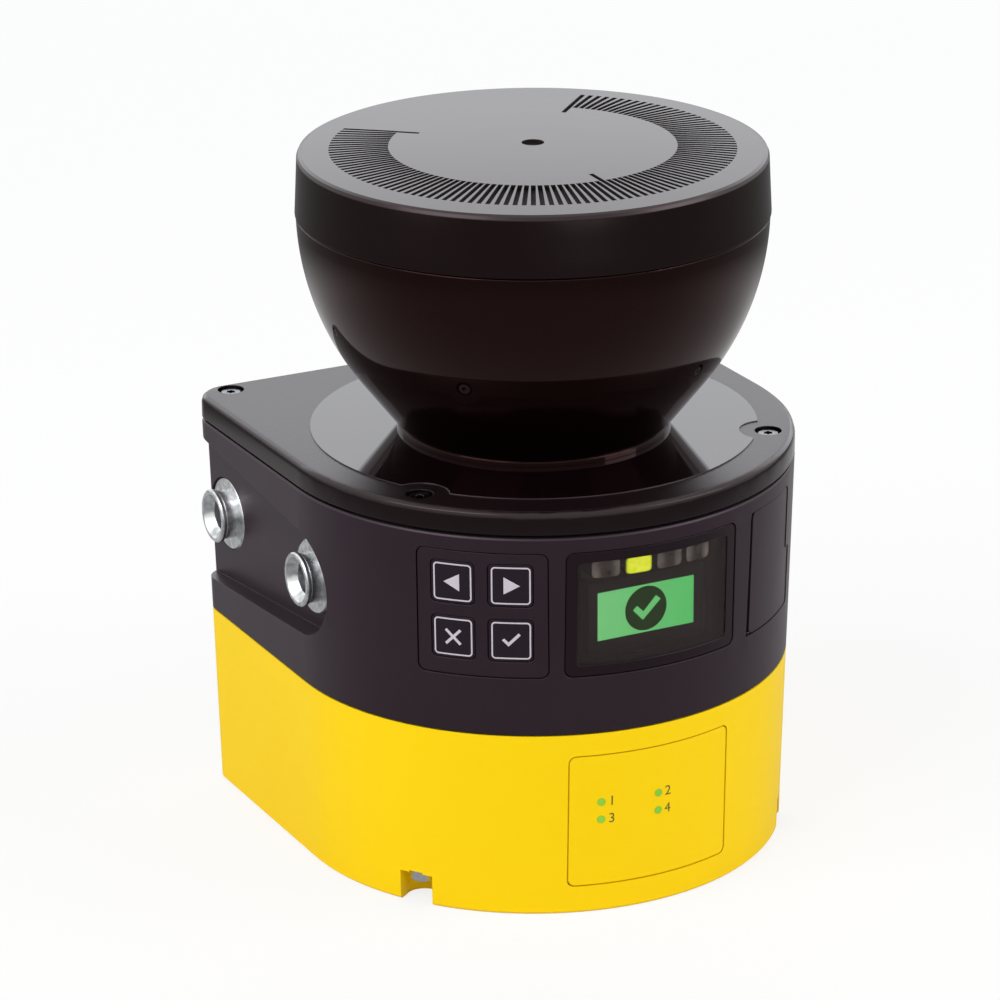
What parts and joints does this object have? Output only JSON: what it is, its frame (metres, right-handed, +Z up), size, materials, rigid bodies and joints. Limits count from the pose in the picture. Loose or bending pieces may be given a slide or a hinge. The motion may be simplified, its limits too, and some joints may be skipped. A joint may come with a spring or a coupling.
{
  "type": "safety laser scanner",
  "caption": "Safety laser scanner with a D-shaped two-part housing, a bowl-shaped scan head with a rotating mirror, front keypad, display, status lights, side bushings and rear connectors.",
  "frame": {"origin": "on the axis of the rotating mirror, in the plane that the housing stands on", "axes": "+Z up along the axis of the mirror, -Y towards the display at the front, +X to the right seen from the front"},
  "size_m": [0.112, 0.111, 0.1532],
  "materials": {
    "black_housing": "satin to glossy moulded plastic",
    "bushings": "zinc-plated",
    "chassis": "as cast",
    "circuit_boards": "solder mask",
    "cover_plate": "fine-grained, with a smooth land",
    "display_window": "smoked and clear",
    "indicator_lenses": "clear, one lit",
    "inner_plastic": "matt",
    "keys": "printed outlines",
    "lcd": "lit",
    "lens": "clear",
    "mirror": "polished",
    "optics_cover": "polished, opaque to the eye and clear to infrared",
    "screws": "zinc-plated",
    "seal": "matt",
    "status_lights": "clear light guides",
    "steel": "machined",
    "windings": "enamelled copper on steel teeth",
    "yellow_housing": "smooth satin"
  },
  "bodies": {
    "scanner": {"lower_housing": "yellow_housing", "upper_housing": "black_housing", "housing_seal": "seal", "cover_plate": "cover_plate", "cover_seal": "seal", "cover_screws": "screws", "base_screws": "screws", "optics_cover": "optics_cover", "neck_seal": "seal", "clamp_ring": "steel", "top_cap": "cover_plate", "cap_seal": "seal", "bushings_left": "bushings", "bushings_right": "bushings", "rear_inserts": "bushings", "keypad_panel": "black_housing", "key_mat": "seal", "keypad_board": "circuit_boards", "display_frame": "black_housing", "display_window": "display_window", "lcd_module": "lcd", "indicator_lenses": "indicator_lenses", "display_board": "circuit_boards", "flap_pin": "steel", "service_socket": "bushings", "status_panel": "yellow_housing", "status_lights": "status_lights", "status_board": "circuit_boards", "connection_module": "black_housing", "module_seal": "seal", "power_connector": "bushings", "network_connectors": "bushings", "module_board": "circuit_boards", "chassis": "chassis", "motor_stator": "windings", "lower_bearing": "steel", "upper_bearing": "steel", "encoder_sensor": "inner_plastic", "cable_duct": "inner_plastic", "optics_carrier": "inner_plastic", "receiver_lens": "lens", "laser_module": "steel", "receiver_board": "circuit_boards", "main_board": "circuit_boards", "power_board": "circuit_boards", "board_spacers": "steel"},
    "scan_rotor": {"motor_rotor": "steel", "motor_shaft": "steel", "encoder_disc": "steel", "mirror_carrier": "inner_plastic", "scan_mirror": "mirror"},
    "key_left": {"key_left": "keys"},
    "key_right": {"key_right": "keys"},
    "key_cancel": {"key_cancel": "keys"},
    "key_confirm": {"key_confirm": "keys"},
    "service_flap": {"service_flap": "black_housing"}
  },
  "joints": [
    {"name": "mirror_spin", "type": "hinge", "parent": "scanner", "child": "scan_rotor", "pos_m": [0, 0, 0.08], "axis": [0, 0, 1], "continuous": true},
    {"name": "key_left_press", "type": "slide", "parent": "scanner", "child": "key_left", "axis": [0.7108, 0.7034, 0], "range_m": [0, 0.0004], "stiffness_N_per_m": 2000},
    {"name": "key_right_press", "type": "slide", "parent": "scanner", "child": "key_right", "axis": [0.5405, 0.8414, 0], "range_m": [0, 0.0004], "stiffness_N_per_m": 2000},
    {"name": "key_cancel_press", "type": "slide", "parent": "scanner", "child": "key_cancel", "axis": [0.7108, 0.7034, 0], "range_m": [0, 0.0004], "stiffness_N_per_m": 2000},
    {"name": "key_confirm_press", "type": "slide", "parent": "scanner", "child": "key_confirm", "axis": [0.5405, 0.8414, 0], "range_m": [0, 0.0004], "stiffness_N_per_m": 2000},
    {"name": "flap_hinge", "type": "hinge", "parent": "scanner", "child": "service_flap", "pos_m": [0.02584, -0.04742, 0.0681], "axis": [0, 0, -1], "range_deg": [0, 90]}
  ]
}
